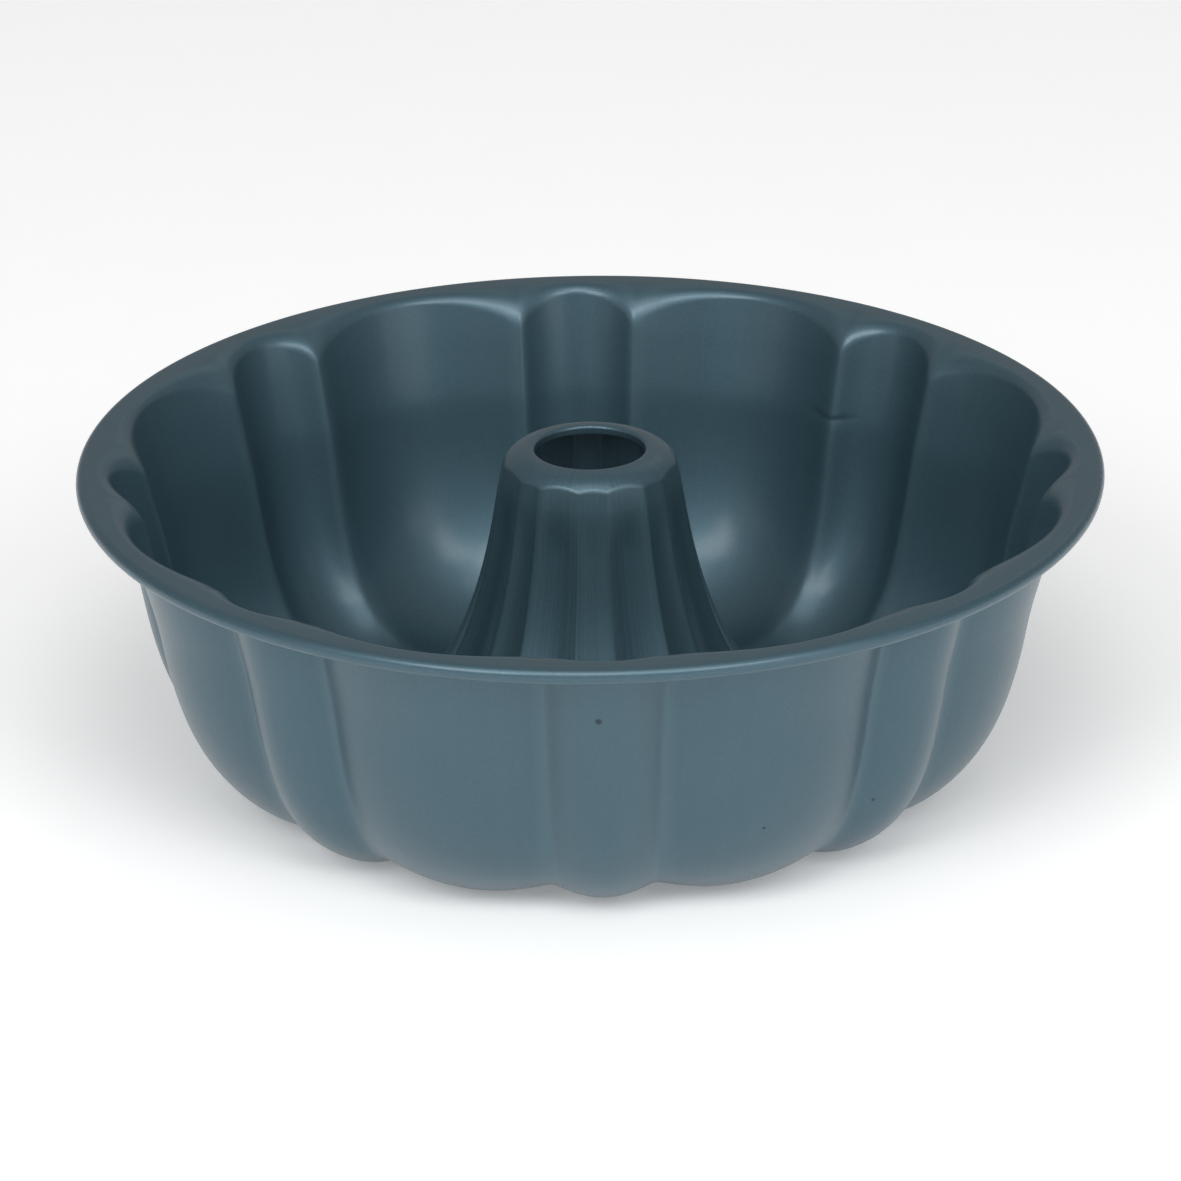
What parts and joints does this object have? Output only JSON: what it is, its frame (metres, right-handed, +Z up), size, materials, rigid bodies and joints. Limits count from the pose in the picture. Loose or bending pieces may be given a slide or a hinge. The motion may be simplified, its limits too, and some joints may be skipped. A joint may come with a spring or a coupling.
{
  "type": "fluted tube cake pan",
  "caption": "Round coated-steel cake pan with narrow and wide lobes in turn, a rolled rim and a hollow fluted centre tube.",
  "frame": {"origin": "on the pan's axis, on the surface it stands on", "axes": "+Z up along the centre tube; a narrow lobe is centred on -Y, and one on each of +X, +Y and -X"},
  "size_m": [0.26, 0.26, 0.0866],
  "materials": {
    "coated_steel": "satin blue-grey non-stick coating on drawn steel sheet",
    "rim_wire_steel": "bare drawn wire, hidden in the rim"
  },
  "bodies": {
    "root": {"pan_shell": "coated_steel", "centre_tube": "coated_steel", "rim_wire": "rim_wire_steel"}
  },
  "joints": []
}
